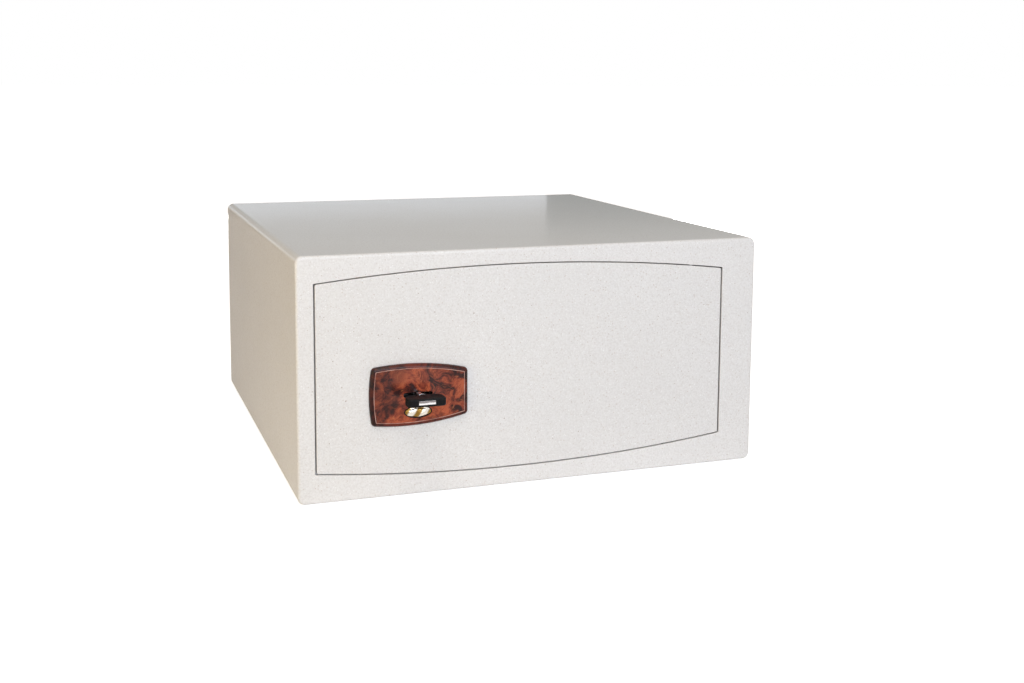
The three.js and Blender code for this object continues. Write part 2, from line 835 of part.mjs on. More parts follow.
// Six leaves on one foot press the levers down.
function leverSprings() {
  const top = caseHeight / 2 - caseWall;
  const leverTop = Math.max(...leverBits) + runningGap + leverRim;
  const tip = leverTop + runningGap;
  const footX = springFoot;
  const foot = block(
    [footX, firstLever, top - 3],
    [footX + 8, leverBack, top],
  );
  const leaves = leverBits.map((_, index) => {
    const front = firstLever + index * leverPitch + 0.15;
    const outline = [
      new THREE.Vector2(footX + 2, top - 2),
      new THREE.Vector2(footX + 2, top - 2 + springThickness),
      new THREE.Vector2(footX - 4, top - 2 + springThickness),
      new THREE.Vector2(-4, tip + springThickness),
      new THREE.Vector2(-10, tip + springThickness + 1),
      new THREE.Vector2(-10, tip + 1),
      new THREE.Vector2(-4, tip),
      new THREE.Vector2(footX - 4, top - 2),
    ];
    return plate(outline.toReversed(), front, front + leverThickness - 0.3);
  });
  return join(foot, ...leaves);
}

// The talon is what stays of the plate once the turning bit has swept past it, while the bolt
// moves with the key: half a turn throws the bolt its full way.
function lockBolt() {
  const half = lockBoltHeight / 2;
  const right = talonBit + boltThrow + 4;
  const left = stumpX - stumpSize;
  const main = plate(roundedBox(left, right, -half, half, 2, 3), lockBoltFront, lockBoltBack);
  const tail = plate(
    roundedBox(tailEnd, left + 6, -tailHeight / 2, tailHeight / 2, 2, 3),
    lockBoltFront,
    lockBoltBack,
  );
  const turns = 30;
  const sweep = Array.from({ length: turns + 1 }, (_, step) => {
    const reach = talonBit + keyGap;
    const thick = bitThickness / 2 + keyGap;
    const bit = block([-reach, lockBoltFront - 1, -thick], [reach, lockBoltBack + 1, thick]);
    return bit.rotateY((Math.PI * step) / turns).translate((boltThrow * step) / turns, 0, 0);
  });
  const shankWay = plate(
    roundedBox(-shankRadius - keyGap, boltThrow + shankRadius + keyGap, -shankRadius - keyGap,
      shankRadius + keyGap, shankRadius + keyGap - 0.01, 8),
    lockBoltFront - 1,
    lockBoltBack + 1,
  );
  const hole = bar(screwRadius + fastenerGap, 'y', lockBoltFront - 1, lockBoltBack + 1, [barX, 0], 16);
  return cut(join(main, tail), ...sweep, shankWay, hole);
}

function boltStump() {
  const half = stumpSize / 2;
  return block([stumpX - half, lockBoltBack, -half], [stumpX + half, leverBack + 0.6, half]);
}

// Boltwork. barX is the bar's middle measured from the key's axis.
const guideLeft = doorLeft + panLeftMargin + panWall + 0.5;
const barX = caseLeft - 2 - barWidth / 2;
const tailEnd = barX - barWidth / 2;
const barBack = lockBoltBack + barThickness;
const boltTip = doorLeft + boltTipFromEdge;
const boltLength = keyholeX + barX + barWidth / 2 - boltTip;
const boltHeight = (side) => midHeight + side * boltSpacing / 2;

function boltBar() {
  const middle = keyholeX + barX;
  const reach = boltSpacing / 2 + boltRadius + barOverhang;
  const outline = roundedBox(
    middle - barWidth / 2,
    middle + barWidth / 2,
    midHeight - reach,
    midHeight + reach,
    3,
  );
  const hole = circle(screwRadius + fastenerGap, middle, keyZ, 16);
  return plate(outline, lockBoltBack, barBack, [hole]);
}

// A round bolt with a chamfered nose and a flat at its tail for the bar.
function bolt(side) {
  const z = boltHeight(side);
  const profile = [
    new THREE.Vector2(0, 0),
    new THREE.Vector2(boltRadius - boltNose, 0),
    new THREE.Vector2(boltRadius, boltNose),
    new THREE.Vector2(boltRadius, boltLength),
    new THREE.Vector2(0, boltLength),
  ];
  const round = new THREE.LatheGeometry(profile, 32).rotateZ(-Math.PI / 2);
  round.translate(boltTip, boltDepth, z);
  const middle = keyholeX + barX;
  const flat = block(
    [middle - barWidth / 2 - runningGap, 0, z - boltRadius - 1],
    [middle + barWidth, barBack + runningGap, z + boltRadius + 1],
  );
  return cut(round, flat);
}

function boltGuide(side) {
  const z = boltHeight(side);
  const half = boltRadius + guideWall;
  const body = rail([
    [doorThickness, z - half],
    [boltDepth + boltRadius + 2, z - half],
    [boltDepth + boltRadius + 2, z + half],
    [doorThickness, z + half],
  ].toReversed(), guideLeft, guideLeft + guideWidth);
  const bore = bar(
    boltRadius + runningGap,
    'x',
    guideLeft - 1,
    guideLeft + guideWidth + 1,
    [boltDepth, z],
    32,
  );
  return cut(body, bore);
}

// Inner cover

const panLeft = doorLeft + panLeftMargin;
const panRight = doorRight - panRightMargin;
const panBottom = bottomRail + bowGap + panEndMargin;
const panTop = openingTop - bowGap - panEndMargin;
const panBack = doorThickness + panDepth;

function doorPan() {
  const outer = plate(
    roundedBox(panLeft, panRight, panBottom, panTop, panCorner),
    doorThickness,
    panBack,
  );
  const hollow = plate(
    roundedBox(
      panLeft + panWall,
      panRight - panWall,
      panBottom + panWall,
      panTop - panWall,
      panCorner - panWall,
    ),
    doorThickness - 1,
    panBack - panWall,
  );
  const boltHoles = [-1, 1].map((side) => bar(
    boltRadius + 0.5,
    'x',
    panLeft - 1,
    panLeft + panWall + 1,
    [boltDepth, boltHeight(side)],
    32,
  ));
  const screwHoles = studPlaces().map(([x, z]) => bar(
    screwRadius + fastenerGap,
    'y',
    panBack - panWall - 1,
    panBack + 1,
    [x, z],
    16,
  ));
  return cut(outer, hollow, ...boltHoles, ...screwHoles);
}

function studPlaces() {
  return [panLeft + studFromLeft, panRight - studFromRight].flatMap((x) => [
    [x, panBottom + studInset],
    [x, panTop - studInset],
  ]);
}

function panStud([x, z]) {
  const post = bar(studRadius, 'y', doorThickness, panBack - panWall, [x, z], 16);
  return cut(post, bar(
    screwRadius + fastenerGap,
    'y',
    panBack - panScrewLength - 1,
    panBack,
    [x, z],
    16,
  ));
}

// Assembly: the casing stands, the door hangs in it, and the lock turns about the key's axis.

const casingWhite = 0xe6e3de;
const doorWhite = 0xe9e6e1;
const zinc = 0xb9bcc0;
const brightSteel = 0xd4d6d9;
const blackPlastic = 0x151515;
const burl = 0x7d3d26;
const brassTone = 0xc79a44;
const feltTone = 0x4a4b50;

const safe = new THREE.Group();
const casing = new THREE.Group();
casing.position.set(0, frontY, 0);
safe.add(casing);
casing.add(
  piece('body_shell', bodyShell(), casingWhite, paint),
  piece('front_frame', frontFrame(), casingWhite, paint),
  piece('back_panel', backPanel(), casingWhite, paint),
  piece('floor_mat', floorMat(), feltTone, { roughness: 1, metalness: 0 }),
  piece('door_stop_upper', doorStop(1), casingWhite, paint),
  piece('door_stop_lower', doorStop(-1), casingWhite, paint),
  piece('gap_strip', gapStrip(), casingWhite, paint),
  piece('hinge_bracket_upper', hingeBracket(1), zinc, steel),
  piece('hinge_bracket_lower', hingeBracket(-1), zinc, steel),
  piece('hinge_pin_upper', hingePin(1), brightSteel, steel),
  piece('hinge_pin_lower', hingePin(-1), brightSteel, steel),
  piece('hinge_ball', hingeBall(), brightSteel, steel),
);

const door = new THREE.Group();
casing.add(door);
door.add(
  piece('door_plate', doorPlate(), doorWhite, paint),
  piece('hinge_lug_upper', hingeLug(1), zinc, steel),
  piece('hinge_lug_lower', hingeLug(-1), zinc, steel),
  piece('dog_upper', dog(1), zinc, steel),
  piece('dog_lower', dog(-1), zinc, steel),
  piece('lock_plate', lockPlate(), burl, { roughness: 0.25, metalness: 0 }),
  piece('oval_stud', ovalStud(), brassTone, steel),
  piece('bolt_guide_upper', boltGuide(1), zinc, steel),
  piece('bolt_guide_lower', boltGuide(-1), zinc, steel),
  piece('door_pan', doorPan(), casingWhite, paint),
  piece('bolt_bar', boltBar(), zinc, steel),
  piece('bolt_upper', bolt(1), brightSteel, steel),
  piece('bolt_lower', bolt(-1), brightSteel, steel),
);
studPlaces().forEach((place, index) => {
  door.add(piece(`pan_stud_${index + 1}`, panStud(place), zinc, steel));
  const head = piece(
    `pan_screw_${index + 1}`,
    screw(screwRadius, screwHeadRadius, screwHeadHeight, panBack, panScrewLength),
    brightSteel,
    steel,
  );
  head.position.set(place[0], 0, place[1]);
  door.add(head);
});

const lock = new THREE.Group();
lock.position.set(keyholeX, 0, keyZ);
door.add(lock);
lock.add(
  piece('keyhole_liner', keyholeLiner(), 0x2a2a2c, steel),
  piece('lock_case', lockCase(), zinc, steel),
  piece('lock_cover', lockCover(), zinc, steel),
  piece('lever_post', bar(pivotRadius, 'y', caseInner, caseBack - 0.3, [pivotReach, 0], 20), brightSteel, steel),
  piece('lever_springs', leverSprings(), brightSteel, steel),
  piece('lock_bolt', lockBolt(), brassTone, steel),
  piece('bolt_stump', boltStump(), brightSteel, steel),
  piece('key_curtain', keyCurtain(), 0x8d8f93, steel),
  piece('key_blank', keyBlank(), brightSteel, steel),
  piece('key_head', keyHead(), blackPlastic, { roughness: 0.45, metalness: 0 }),
);
leverBits.forEach((_, index) => {
  lock.add(piece(`lever_${index + 1}`, lever(index), brassTone, steel));
});
bossPlaces().forEach(([x, z], index) => {
  const head = piece(
    `cover_screw_${index + 1}`,
    screw(
      smallScrewRadius,
      smallScrewHead,
      smallScrewHeadHeight,
      caseBack + coverThickness,
      coverScrewLength,
    ),
    brightSteel,
    steel,
  );
  head.position.set(x, 0, z);
  lock.add(head);
});
const barScrewGeometry = screw(
  screwRadius,
  smallScrewHead,
  smallScrewHeadHeight,
  barBack,
  barScrewLength,
);
const barScrew = piece('bar_screw', barScrewGeometry, brightSteel, steel);
barScrew.position.set(barX, 0, 0);
lock.add(barScrew);

export default safe;
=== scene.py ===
# The hotel safe in Blender: fine visible pieces, procedural finishes, light and camera.
# Metres, +Z up, the door faces -Y. Shapes are written in millimetres: x, depth behind the front, z.
import math
import bpy
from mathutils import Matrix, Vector
from mathutils.geometry import tessellate_polygon


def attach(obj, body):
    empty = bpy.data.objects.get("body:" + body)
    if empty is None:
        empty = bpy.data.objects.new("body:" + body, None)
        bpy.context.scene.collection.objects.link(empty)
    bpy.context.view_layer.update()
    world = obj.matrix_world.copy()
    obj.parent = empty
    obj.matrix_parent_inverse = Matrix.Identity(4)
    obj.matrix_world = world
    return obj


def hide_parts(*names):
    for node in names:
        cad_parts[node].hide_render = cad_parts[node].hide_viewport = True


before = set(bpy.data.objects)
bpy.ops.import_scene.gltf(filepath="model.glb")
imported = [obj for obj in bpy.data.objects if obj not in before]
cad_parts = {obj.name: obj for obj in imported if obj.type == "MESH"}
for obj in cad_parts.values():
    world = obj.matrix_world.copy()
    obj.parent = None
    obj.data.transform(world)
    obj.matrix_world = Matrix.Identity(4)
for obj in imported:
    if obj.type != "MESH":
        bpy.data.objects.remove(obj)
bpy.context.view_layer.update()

SCENE = bpy.context.scene
MM = 0.001
FRONT_Y = -210.0  # the front face's place in y
STRAIGHT = 1e5  # the radius of a disc whose edge passes for a straight side
QUARTER = math.pi / 2
FULL_TURN = 2 * math.pi
LEAST_ROUNDING = 0.25
SHARP_ANGLE = 35.0  # in degrees: sharper edges stay sharp in the shading
FACE_WEIGHT = 80  # how far large faces rule the shading of their edges


# Outlines, in x and z

def arc(x, z, radius, start, end, steps):
    """Points from the start angle to the end angle, both ends included."""
    points = []
    for step in range(steps + 1):
        angle = start + (end - start) * step / steps
        points.append((x + radius * math.cos(angle), z + radius * math.sin(angle)))
    return points


def rounded_box(left, right, bottom, top, radius, steps=10, low_radius=None):
    """A box with rounded corners. The two at the bottom can have a radius of their own."""
    low = radius if low_radius is None else low_radius
    corners = [
        (right - radius, top - radius, radius),
        (left + radius, top - radius, radius),
        (left + low, bottom + low, low),
        (right - low, bottom + low, low),
    ]
    points = []
    for turn, (x, z, size) in enumerate(corners):
        points += arc(x, z, size, turn * QUARTER, (turn + 1) * QUARTER, steps)
    return points


def disc_corner(first, second):
    """Where the edge of one disc gives way to the next, going round anticlockwise."""
    (ax, az, ar), (bx, bz, br) = first[:3], second[:3]
    span = math.hypot(bx - ax, bz - az)
    along = (span ** 2 + ar ** 2 - br ** 2) / (2 * span)
    aside = math.sqrt(ar ** 2 - along ** 2)
    ux, uz = (bx - ax) / span, (bz - az) / span
    for side in (1, -1):
        x = ax + ux * along - side * uz * aside
        z = az + uz * along + side * ux * aside
        if (x - ax) * (z - bz) - (z - az) * (x - bx) > 0:
            return x, z
    raise ValueError("the discs don't cross")


def disc_outline(discs, inset, rounding, corner_steps=8):
    """The outline that several discs (x, z, radius, steps) share, drawn in by an inset."""
    rounding = max(rounding - inset, LEAST_ROUNDING)
    small = [(x, z, radius - inset - rounding, steps) for x, z, radius, steps in discs]
    count = len(small)
    corners = [disc_corner(small[i], small[(i + 1) % count]) for i in range(count)]
    points = []
    for index, (x, z, radius, steps) in enumerate(small):
        begin = corners[index - 1]
        end = corners[index]
        start = math.atan2(begin[1] - z, begin[0] - x)
        stop = math.atan2(end[1] - z, end[0] - x)
        sweep = (stop - start) % FULL_TURN
        points += arc(x, z, radius + rounding, start, start + sweep, steps)
        following = small[(index + 1) % count]
        leave = start + sweep
        onward = math.atan2(end[1] - following[1], end[0] - following[0])
        turn = (onward - leave) % FULL_TURN
        points += arc(*end, rounding, leave, leave + turn, corner_steps)[1:-1]
    return points


def moved(outline, x, z):
    return [(px + x, pz + z) for px, pz in outline]


# Meshes from rings

def ring(outline, depth):
    """An outline laid at a depth."""
    return [(x, depth, z) for x, z in outline]


def quarter_round(outline_at, depth, radius, rise, steps):
    """Rings from the face edge, inset by the radius, round to the full outline."""
    rings = []
    for step in range(steps + 1):
        angle = step / steps * QUARTER
        outline = outline_at(radius * (1 - math.sin(angle)))
        rings.append(ring(outline, depth + rise * (1 - math.cos(angle))))
    return rings


class Solid:
    """Vertices in millimetres and faces, gathered ring by ring."""

    def __init__(self):
        self.points = []
        self.faces = []

    def add(self, points):
        first = len(self.points)
        self.points += points
        return list(range(first, first + len(points)))

    def wall(self, rings, flip=False):
        """Joins rings of equal length in turn, and gives back the first and the last."""
        rows = [self.add(points) for points in rings]
        for near, far in zip(rows, rows[1:]):
            for index in range(len(near)):
                beside = (index + 1) % len(near)
                face = [near[index], far[index], far[beside], near[beside]]
                self.faces.append(face[::-1] if flip else face)
        return rows[0], rows[-1]

    def flat_place(self, index):
        x, _, z = self.points[index]
        return Vector((x, z, 0))

    def cap(self, outer, holes=(), flip=False):
        """Fills a ring, less its holes, with triangles."""
        loops = [outer, *holes]
        flat = [index for loop in loops for index in loop]
        places = [[self.flat_place(index) for index in loop] for loop in loops]
        for corners in tessellate_polygon(places):
            face = [flat[corner] for corner in corners]
            (ax, _, az), (bx, _, bz), (cx, _, cz) = (self.points[i] for i in face)
            turn = (bx - ax) * (cz - az) - (bz - az) * (cx - ax)
            if (turn < 0) != flip:
                face.reverse()
            self.faces.append(face)


def hang(name, mesh, body, replaced=()):
    """Puts a piece on its body and in the place of CAD nodes."""
    piece = bpy.data.objects.new(name, mesh)
    SCENE.collection.objects.link(piece)
    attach(piece, body)
    if replaced:
        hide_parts(*replaced)
    return piece


def to_mesh(name, solid):
    mesh = bpy.data.meshes.new(name)
    places = [(x * MM, (FRONT_Y + depth) * MM, z * MM) for x, depth, z in solid.points]
    mesh.from_pydata(places, [], solid.faces)
    mesh.validate()
    mesh.update()
    return mesh


def shade_smooth(mesh):
    if "custom_normal" in mesh.attributes:
        mesh.attributes.remove(mesh.attributes["custom_normal"])
    mesh.shade_smooth()


def keep_flat_faces(piece, keep_sharp):
    """Smooth shading that leaves the large faces flat."""
    weighted = piece.modifiers.new("flat faces", "WEIGHTED_NORMAL")
    weighted.keep_sharp = keep_sharp
    weighted.weight = FACE_WEIGHT


def break_edges(piece, width, least_angle):
    """Rounds the edges that are sharper than an angle in degrees."""
    bevel = piece.modifiers.new("edge", "BEVEL")
    bevel.width = width * MM
    bevel.segments = 2
    bevel.limit_method = "ANGLE"
    bevel.angle_limit = math.radians(least_angle)


def swap_mesh(piece, mesh):
    """Gives a piece a new mesh under the old one's name."""
    old = piece.data
    mesh.name = old.name
    piece.data = mesh
    bpy.data.meshes.remove(old)


def carve(piece, *tools):
    """Cuts solids out of a new piece."""
    for tool in tools:
        cutter = bpy.data.objects.new("cutter", to_mesh("cutter", tool))
        SCENE.collection.objects.link(cutter)
        modifier = piece.modifiers.new("cut", "BOOLEAN")
        modifier.object = cutter
        modifier.operation = "DIFFERENCE"
        modifier.solver = "EXACT"
        bpy.context.view_layer.update()
        graph = bpy.context.evaluated_depsgraph_get()
        cut_mesh = bpy.data.meshes.new_from_object(piece.evaluated_get(graph))
        piece.modifiers.clear()
        swap_mesh(piece, cut_mesh)
        bpy.data.objects.remove(cutter)


def prism(outline, from_depth, to_depth):
    """An outline in x and z, drawn back along the depth."""
    solid = Solid()
    near, far = solid.wall([ring(outline, from_depth), ring(outline, to_depth)])
    solid.cap(near)
    solid.cap(far, flip=True)
    return solid


def upright_prism(outline, bottom, top):
    """An outline in x and depth, drawn up along z."""
    solid = Solid()
    rows = [[(x, depth, z) for x, depth in outline] for z in (bottom, top)]
    low, high = solid.wall(rows, flip=True)
    solid.faces.append(low)
    solid.faces.append(high[::-1])
    return solid


# Finishes

def feed(tree, socket, value):
    """Links a socket to another one, or sets it to a constant."""
    if isinstance(value, bpy.types.NodeSocket):
        tree.links.new(value, socket)
    else:
        socket.default_value = value


def reckon(tree, how, first, second):
    """A math node on two values. Each is a socket or a number."""
    node = tree.nodes.new("ShaderNodeMath")
    node.operation = how
    feed(tree, node.inputs[0], first)
    feed(tree, node.inputs[1], second)
    return node.outputs["Value"]


def ranged(tree, value, low, high, start, end, blend="LINEAR"):
    """The value, read from low to high, as start to end."""
    node = tree.nodes.new("ShaderNodeMapRange")
    node.interpolation_type = blend
    feed(tree, node.inputs["Value"], value)
    node.inputs["From Min"].default_value = low
    node.inputs["From Max"].default_value = high
    node.inputs["To Min"].default_value = start
    node.inputs["To Max"].default_value = end
    return node.outputs["Result"]


class Look:
    """A procedural material on the place at rest, in metres."""

    def __init__(self, name, **constants):
        self.material = bpy.data.materials.new(name)
        self.material.use_nodes = True
        self.tree = self.material.node_tree
        self.shader = self.tree.nodes["Principled BSDF"]
        self.place = self.node("ShaderNodeTexCoord").outputs["Object"]
        for socket, value in constants.items():
            self.shader.inputs[socket.replace("_", " ")].default_value = value

    def node(self, kind, **settings):
        node = self.tree.nodes.new(kind)
        for key, value in settings.items():
            setattr(node, key, value)
        return node

    def feed(self, socket, value):
        feed(self.tree, socket, value)

    def set(self, socket, value):
        self.feed(self.shader.inputs[socket], value)

    def scaled(self, scale, turn=(0, 0, 0), place=None, shift=(0, 0, 0)):
        """The place, stretched, turned in degrees and shifted."""
        node = self.node("ShaderNodeMapping")
        self.feed(node.inputs["Vector"], place or self.place)
        node.inputs["Location"].default_value = shift
        node.inputs["Scale"].default_value = scale
        node.inputs["Rotation"].default_value = [math.radians(angle) for angle in turn]
        return node.outputs["Vector"]

    def noise(self, scale, detail=2.0, rough=0.5, bend=0.0, place=None):
        node = self.node("ShaderNodeTexNoise")
        self.feed(node.inputs["Vector"], place or self.place)
        node.inputs["Scale"].default_value = scale
        node.inputs["Detail"].default_value = detail
        node.inputs["Roughness"].default_value = rough
        node.inputs["Distortion"].default_value = bend
        return node.outputs["Fac"]

    def cells(self, scale, place=None):
        """The distance to the nearest cell's middle, and a colour that differs by cell."""
        node = self.node("ShaderNodeTexVoronoi")
        self.feed(node.inputs["Vector"], place or self.place)
        node.inputs["Scale"].default_value = scale
        return node.outputs

    def stripes(self, scale, direction, bend, phase, place=None):
        """Soft bands across a direction."""
        node = self.node("ShaderNodeTexWave", wave_type="BANDS", bands_direction=direction)
        self.feed(node.inputs["Vector"], place or self.place)
        node.inputs["Scale"].default_value = scale
        node.inputs["Distortion"].default_value = bend
        node.inputs["Detail Scale"].default_value = 3.0
        node.inputs["Phase Offset"].default_value = phase
        return node.outputs["Fac"]

    def band(self, value, low, high, start=0.0, end=1.0):
        """The value, eased from low to high, as start to end."""
        return ranged(self.tree, value, low, high, start, end, "SMOOTHSTEP")

    def add(self, first, second):
        return reckon(self.tree, "ADD", first, second)

    def multiply(self, first, second):
        return reckon(self.tree, "MULTIPLY", first, second)

    def part(self, colour_socket, channel):
        """One channel of a colour."""
        node = self.node("ShaderNodeSeparateColor")
        self.feed(node.inputs["Color"], colour_socket)
        return node.outputs[channel]

    def mix(self, factor, first, second):
        node = self.node("ShaderNodeMix", data_type="RGBA")
        self.feed(node.inputs["Factor"], factor)
        self.feed(node.inputs["A"], colour(first))
        self.feed(node.inputs["B"], colour(second))
        return node.outputs["Result"]

    def bend_place(self, scale, amount):
        """The place, pushed about by a noise."""
        noise = self.node("ShaderNodeTexNoise")
        self.feed(noise.inputs["Vector"], self.place)
        noise.inputs["Scale"].default_value = scale
        shift = self.node("ShaderNodeVectorMath", operation="SUBTRACT")
        self.feed(shift.inputs[0], noise.outputs["Color"])
        shift.inputs[1].default_value = (0.5, 0.5, 0.5)  # the noise's middle
        sized = self.node("ShaderNodeVectorMath", operation="SCALE")
        self.feed(sized.inputs[0], shift.outputs["Vector"])
        sized.inputs["Scale"].default_value = amount
        total = self.node("ShaderNodeVectorMath", operation="ADD")
        self.feed(total.inputs[0], self.place)
        self.feed(total.inputs[1], sized.outputs["Vector"])
        return total.outputs["Vector"]

    def specks(self, scale, reach, share):
        """Soft dots in a share of the cells. The reach is their radius in cells."""
        cell = self.cells(scale, place=self.bend_place(900.0, 0.0014))
        dot = self.band(cell["Distance"], reach * 0.4, reach, 1.0, 0.0)
        kept = self.band(self.part(cell["Color"], "Red"), 1 - share, 1.04 - share)
        return self.multiply(dot, kept)

    def bump(self, height, distance):
        """A relief in the finish, with its full height given in metres."""
        node = self.node("ShaderNodeBump")
        self.feed(node.inputs["Height"], height)
        node.inputs["Distance"].default_value = distance
        node.inputs["Strength"].default_value = 1.0
        self.set("Normal", node.outputs["Normal"])


def linear(part):
    """One channel of sRGB, made linear."""
    if part <= 0.04045:
        return part / 12.92
    return ((part + 0.055) / 1.055) ** 2.4


def colour(value):
    """A colour written as sRGB 0 to 255 becomes a linear one; a socket stays as it is."""
    if isinstance(value, bpy.types.NodeSocket):
        return value
    parts = [part / 255 for part in value]
    return (*(linear(part) for part in parts), 1.0)


def powder_coat(name, base, speck_share):
    """Warm off-white coat with brownish specks and a fine orange peel."""
    look = Look(name, Coat_Weight=0.35, Coat_Roughness=0.1)
    cloud = look.noise(9.0, 3.0)
    grain = look.noise(620.0, 3.0, 0.7)
    clouded = [part - 3 for part in base]
    grained = [base[0] - 12, base[1] - 13, base[2] - 14]
    tone = look.mix(look.band(cloud, 0.3, 0.7), base, clouded)
    tone = look.mix(look.band(grain, 0.4, 0.68), tone, grained)
    brown = look.specks(300.0, 0.15, speck_share * 0.5)
    tone = look.mix(brown, tone, (168, 148, 134))
    beige = look.specks(430.0, 0.26, speck_share * 1.4)
    tone = look.mix(beige, tone, (208, 197, 188))
    white = look.specks(610.0, 0.3, speck_share * 1.6)
    look.set("Base Color", look.mix(white, tone, (250, 249, 247)))
    peel = look.noise(330.0, 2.0, 0.4)
    look.bump(look.add(peel, look.multiply(grain, 0.3)), 0.00018)
    look.set("Roughness", look.band(cloud, 0.2, 0.8, 0.38, 0.46))
    return look.material


def tinted(tone, tint):
    return [part * share for part, share in zip(tone, tint)]


def burl(name, tint, gloss):
    """Lacquered burl: swirled figure with eyes. The tint makes a darker copy for the rounded rim:
    painted shade.
    """
    look = Look(name, Roughness=0.35, Coat_Weight=gloss, Coat_Roughness=0.12)
    look.set("Specular IOR Level", 0.12)
    look.place = look.scaled((1.0, 1.0, 1.0), shift=(-0.37, 0.0, 0.48))
    swirl = look.bend_place(38.0, 0.03)
    figure = look.noise(58.0, 5.0, 0.62, 1.4, swirl)
    streak = look.noise(150.0, 6.0, 0.7, 2.2, look.scaled((1.0, 1.0, 2.2), (0, 25, 0), swirl))
    dark = tinted((48, 23, 22), tint)
    brown = tinted((136, 62, 44), tint)
    amber = tinted((178, 88, 57), tint)
    pale = tinted((214, 126, 80), tint)
    tone = look.mix(look.band(figure, 0.4, 0.52), dark, brown)
    tone = look.mix(look.band(figure, 0.49, 0.6), tone, amber)
    tone = look.mix(look.band(streak, 0.54, 0.8), tone, pale)
    shade = look.noise(26.0, 1.0, 0.4)
    tone = look.mix(look.band(shade, 0.5, 0.36, 0.0, 0.5), tone, dark)
    tone = look.mix(look.band(streak, 0.46, 0.33, 0.0, 0.65), tone, dark)
    eyes = look.cells(105.0, place=look.bend_place(120.0, 0.008))["Distance"]
    ringed = look.multiply(look.band(eyes, 0.08, 0.2), look.band(eyes, 0.2, 0.34, 1.0, 0.0))
    tone = look.mix(look.multiply(ringed, 0.5), tone, dark)
    pores = look.noise(1400.0, 2.0, 0.6, 0.0, look.scaled((1.0, 1.0, 0.4), (0, 35, 0)))
    tone = look.mix(look.band(pores, 0.42, 0.3, 0.0, 0.5), tone, dark)
    look.set("Base Color", tone)
    look.bump(look.noise(260.0, 2.0), 0.00003)
    return look.material


def fine_lines(look, scale):
    """Grinding lines that run along x."""
    return look.noise(scale, 3.0, 0.7, 0.0, look.scaled((0.04, 1.0, 1.0)))


def metal(name, base, shade, rough, lines):
    """Ground or drawn metal: fine lines, with duller patches."""
    look = Look(name, Metallic=1.0)
    fine = fine_lines(look, lines)
    patch = look.noise(40.0, 4.0, 0.6, 0.4)
    tone = look.mix(look.band(patch, 0.35, 0.68), base, shade)
    tone = look.mix(look.band(fine, 0.3, 0.7, 0.0, 0.35), tone, shade)
    look.set("Base Color", tone)
    dull = look.add(look.band(patch, 0.3, 0.7, 0.0, 0.12), look.band(fine, 0.3, 0.7, 0.0, 0.1))
    look.set("Roughness", look.add(dull, rough))
    look.bump(fine, 0.00002)
    return look.material


def crowned_brass(name):
    """Polished brass with pale slanting bands painted on as reflection, and a faint wave in what it
    mirrors.
    """
    look = Look(name, Metallic=1.0)
    # Pale and gold slanting bands: painted reflection.
    wear_and_painted_reflection = look.stripes(34.9, "X", 1.2, 0.0, look.scaled((1.0, 1.0, 1.0), (0, -30, 0)))
    tone = look.mix(look.band(wear_and_painted_reflection, 0.2, 0.7), (150, 117, 58), (240, 235, 224))
    look.set("Base Color", tone)
    look.set("Roughness", look.band(look.noise(700.0, 3.0), 0.3, 0.7, 0.1, 0.2))
    look.bump(wear_and_painted_reflection, 0.0005)
    return look.material


def key_steel(name):
    """Plated key steel with fine grinding lines, and a bright and a dark band painted across it as
    reflection.
    """
    look = Look(name, Metallic=1.0)
    # Pale and dark bands across z: painted reflection.
    wear_and_painted_reflection = look.stripes(87.3, "Z", 1.0, 2.12)
    fine = fine_lines(look, 1500.0)
    tone = look.mix(look.band(wear_and_painted_reflection, 0.25, 0.75), (118, 113, 112), (226, 224, 225))
    tone = look.mix(look.band(fine, 0.3, 0.7, 0.0, 0.35), tone, (146, 142, 141))
    look.set("Base Color", tone)
    look.set("Roughness", look.band(fine, 0.3, 0.7, 0.16, 0.3))
    look.bump(fine, 0.00002)
    return look.material


def zinc(name):
    """Zinc plate with a faint yellow and blue passivation and fine crystals."""
    look = Look(name, Metallic=1.0)
    film = look.noise(28.0, 3.0, 0.6, 0.8)
    crystal = look.cells(480.0)["Color"]
    tone = look.mix(look.band(film, 0.32, 0.5), (186, 192, 202), (196, 197, 194))
    tone = look.mix(look.band(film, 0.5, 0.68), tone, (205, 196, 168))
    tone = look.mix(look.band(look.part(crystal, "Red"), 0.0, 1.0, 0.0, 0.3), tone, (150, 152, 156))
    look.set("Base Color", tone)
    look.set("Roughness", look.band(look.part(crystal, "Green"), 0.0, 1.0, 0.3, 0.44))
    look.bump(look.noise(700.0, 3.0), 0.00004)
    return look.material


def felt(name):
    """Needled felt: fibres that lie in all directions, some paler and some darker."""
    look = Look(name, Roughness=0.95, Sheen_Weight=0.25, Sheen_Roughness=0.5)
    look.set("Specular IOR Level", 0.15)
    fibres = (
        (8, (92, 93, 97)),
        (64, (38, 39, 43)),
        (118, (104, 103, 104)),
        (160, (46, 47, 50)),
    )
    height = 0.0
    tone = look.mix(look.band(look.noise(14.0, 3.0), 0.3, 0.7), (66, 67, 71), (56, 57, 61))
    for turn, shade in fibres:
        strands = look.noise(900.0, 3.0, 0.6, 0.9, look.scaled((0.16, 1.0, 1.0), (0, 0, turn)))
        tone = look.mix(look.band(strands, 0.56, 0.7, 0.0, 0.8), tone, shade)
        height = look.add(height, strands)
    look.set("Base Color", tone)
    look.bump(height, 0.0005)
    return look.material


def moulded(name):
    """Black plastic with a spark-eroded grain, worn a little smoother in places."""
    look = Look(name)
    look.set("Specular IOR Level", 0.12)
    grain = look.noise(2600.0, 2.0)
    wear = look.noise(120.0, 3.0, 0.6, 0.5)
    tone = look.mix(look.band(wear, 0.4, 0.7), (13, 13, 14), (22, 22, 23))
    look.set("Base Color", tone)
    look.set("Roughness", look.band(wear, 0.35, 0.7, 0.5, 0.34))
    look.bump(grain, 0.00006)
    return look.material


